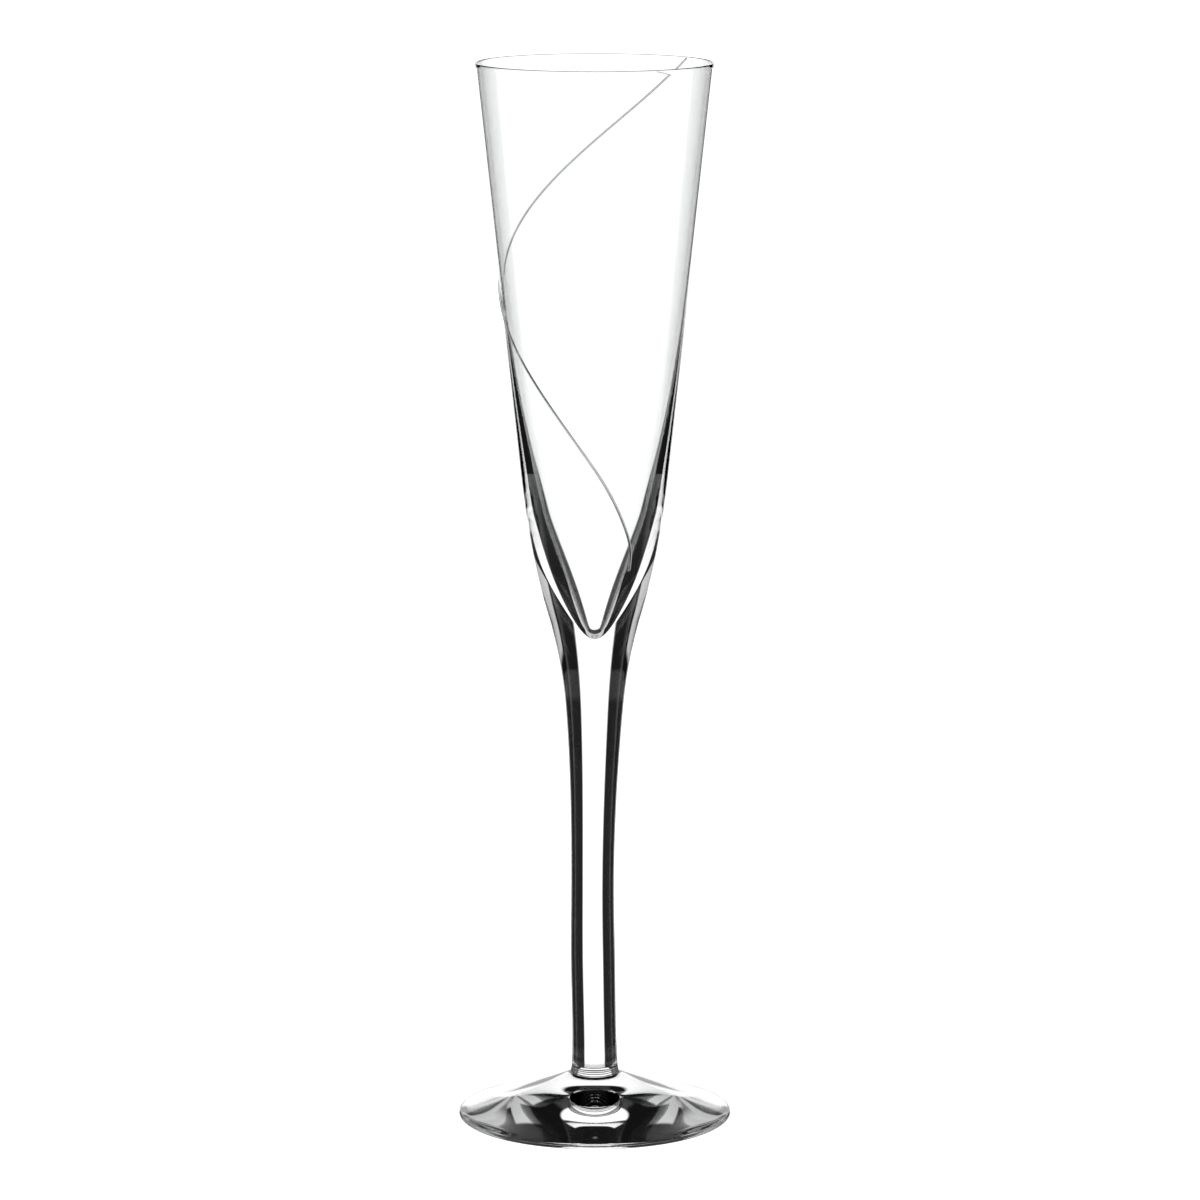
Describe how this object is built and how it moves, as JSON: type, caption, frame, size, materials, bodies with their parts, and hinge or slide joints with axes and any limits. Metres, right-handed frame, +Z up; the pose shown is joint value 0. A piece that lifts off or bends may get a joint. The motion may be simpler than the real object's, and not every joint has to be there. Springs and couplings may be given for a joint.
{
  "type": "champagne flute",
  "caption": "Tall clear glass flute with a funnel bowl, solid drawn stem, cone-topped round foot and one fine spiral glass thread from rim to stem.",
  "frame": {"origin": "centre of the foot's resting ring, on the surface the flute stands on", "axes": "+Z up along the stem's axis, -Y towards the viewer, +X to the viewer's right"},
  "size_m": [0.0698, 0.0698, 0.27],
  "materials": {
    "bowl": "clear, fire-polished",
    "stem": "clear, fire-polished",
    "foot": "clear, fire-polished",
    "thread": "clear, fire-polished"
  },
  "bodies": {
    "root": {"bowl": "bowl", "stem": "stem", "foot": "foot", "thread": "thread"}
  },
  "joints": []
}
